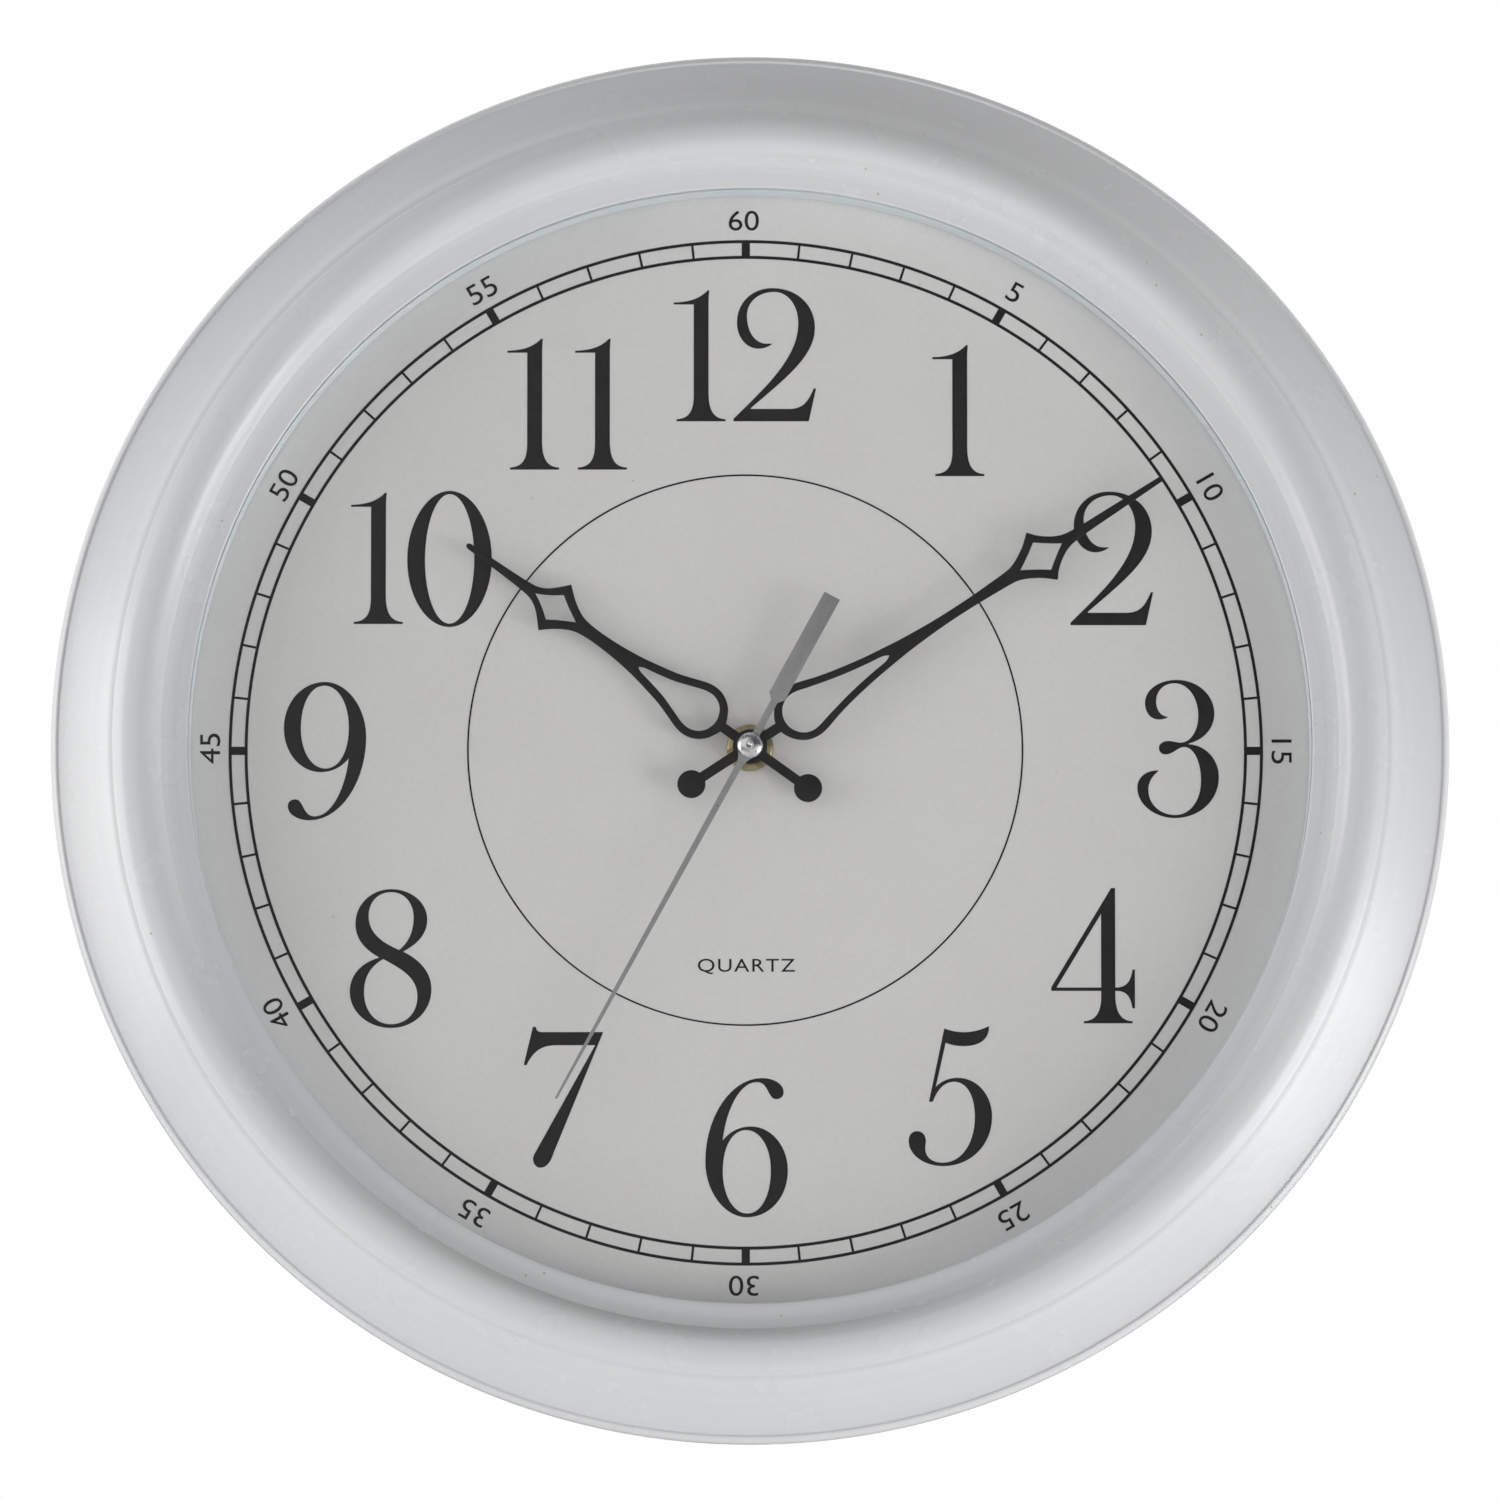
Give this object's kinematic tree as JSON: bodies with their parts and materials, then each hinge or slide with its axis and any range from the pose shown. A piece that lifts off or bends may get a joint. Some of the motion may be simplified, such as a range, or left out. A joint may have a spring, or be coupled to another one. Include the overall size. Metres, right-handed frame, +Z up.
{
  "type": "wall clock",
  "caption": "Round 16-inch quartz wall clock with a moulded white case ring, flat lens, printed dial, open spade hands and a battery movement on a keyhole hanger.",
  "frame": {"origin": "the wall nail: top of the keyhole slot, on the wall plane", "axes": "+Z up, +Y into the wall, the dial faces -Y and +X is to the right of a person reading it"},
  "size_m": [0.406, 0.0425, 0.406],
  "materials": {
    "case_white": "smooth satin-gloss white moulding",
    "lens_glass": "clear flat polished glass",
    "inner_white": "semi-matt cool white",
    "dial_board": "matt warm light grey printed board with black print",
    "back_white": "fine-grained off-white moulding",
    "black_plastic": "fine spark-eroded black moulding",
    "white_gear_plastic": "natural acetal",
    "hand_black": "satin black paint on stamped aluminium",
    "hand_grey": "satin grey paint on stamped aluminium",
    "cap_silver": "polished silver dome, slightly brushed",
    "brass": "dull turned brass",
    "steel": "zinc-plated steel",
    "spring_steel": "nickel-plated spring steel",
    "rubber_black": "matt black rubber",
    "cell_jacket": null,
    "board_green": "solder-masked laminate",
    "chip_black": "epoxy blob",
    "copper_wire": "enamelled copper wire",
    "soft_iron": "laminated soft iron",
    "magnet_plastic": "dark ferrite and plastic"
  },
  "bodies": {
    "root": {"case_frame": "case_white", "lens": "lens_glass", "spacer_ring": "inner_white", "dial": "dial_board", "back_cover": "back_white", "hanger_plate": "steel", "movement_case": "black_plastic", "movement_rear_cover": "black_plastic", "middle_plate": "black_plastic", "threaded_bushing": "brass", "rubber_washer": "rubber_black", "brass_washer": "brass", "brass_nut": "brass", "positive_contact": "spring_steel", "negative_spring": "spring_steel", "circuit_board": "board_green", "control_chip": "chip_black", "quartz_crystal": "spring_steel", "coil_core": "soft_iron", "coil_bobbin": "white_gear_plastic", "coil_winding": "copper_wire", "stator_plate": "soft_iron", "back_screw_1": "steel", "back_screw_2": "steel", "back_screw_3": "steel", "back_screw_4": "steel", "back_screw_5": "steel", "back_screw_6": "steel", "hanger_screw_1": "steel", "hanger_screw_2": "steel"},
    "second_works": {"second_wheel": "white_gear_plastic", "second_hand": "hand_grey", "second_hand_cap": "cap_silver"},
    "third_wheel_body": {"third_wheel": "white_gear_plastic"},
    "centre_wheel_body": {"centre_wheel": "brass"},
    "intermediate_wheel_body": {"intermediate_wheel": "white_gear_plastic"},
    "rotor_body": {"rotor": "magnet_plastic"},
    "minute_works": {"minute_arbor": "brass", "minute_hand": "hand_black", "minute_collet": "brass"},
    "minute_wheel_body": {"minute_wheel": "white_gear_plastic"},
    "hour_works": {"hour_wheel": "white_gear_plastic", "hour_hand": "hand_black", "hour_collet": "brass"},
    "setting_knob_body": {"setting_knob": "black_plastic"},
    "battery": {"battery_cell": "cell_jacket"}
  },
  "joints": [
    {"name": "second_hand_spin", "type": "hinge", "parent": "root", "child": "second_works", "pos_m": [0, -0.0285, -0.15], "axis": [0, 1, 0], "continuous": true},
    {"name": "third_wheel_spin", "type": "hinge", "parent": "root", "child": "third_wheel_body", "pos_m": [0.00781, -0.01, -0.14344], "axis": [0, 1, 0], "continuous": true},
    {"name": "centre_wheel_spin", "type": "hinge", "parent": "root", "child": "centre_wheel_body", "pos_m": [0, -0.01, -0.15], "axis": [0, 1, 0], "continuous": true},
    {"name": "intermediate_wheel_spin", "type": "hinge", "parent": "root", "child": "intermediate_wheel_body", "pos_m": [-0.00677, -0.01, -0.15246], "axis": [0, 1, 0], "continuous": true},
    {"name": "rotor_spin", "type": "hinge", "parent": "root", "child": "rotor_body", "pos_m": [-0.01362, -0.01, -0.15566], "axis": [0, 1, 0], "continuous": true},
    {"name": "minute_hand_spin", "type": "hinge", "parent": "root", "child": "minute_works", "pos_m": [0, -0.0272, -0.15], "axis": [0, 1, 0], "continuous": true},
    {"name": "minute_wheel_spin", "type": "hinge", "parent": "root", "child": "minute_wheel_body", "pos_m": [-0.004, -0.01, -0.14307], "axis": [0, 1, 0], "continuous": true},
    {"name": "hour_hand_spin", "type": "hinge", "parent": "root", "child": "hour_works", "pos_m": [0, -0.0258, -0.15], "axis": [0, 1, 0], "continuous": true},
    {"name": "setting_knob_turn", "type": "hinge", "parent": "root", "child": "setting_knob_body", "pos_m": [-0.008, -0.01, -0.13614], "axis": [0, 1, 0], "continuous": true},
    {"name": "battery_slide", "type": "slide", "parent": "root", "child": "battery", "axis": [0, 1, 0], "range_m": [0, 0.018]}
  ],
  "couplings": [
    {"joint": "third_wheel_spin", "follows": "second_hand_spin", "ratio": -0.13333},
    {"joint": "centre_wheel_spin", "follows": "second_hand_spin", "ratio": 0.016667},
    {"joint": "intermediate_wheel_spin", "follows": "second_hand_spin", "ratio": -5},
    {"joint": "rotor_spin", "follows": "second_hand_spin", "ratio": 30},
    {"joint": "minute_wheel_spin", "follows": "minute_hand_spin", "ratio": -0.33333},
    {"joint": "hour_hand_spin", "follows": "minute_hand_spin", "ratio": 0.083333},
    {"joint": "setting_knob_turn", "follows": "minute_hand_spin", "ratio": 1}
  ]
}
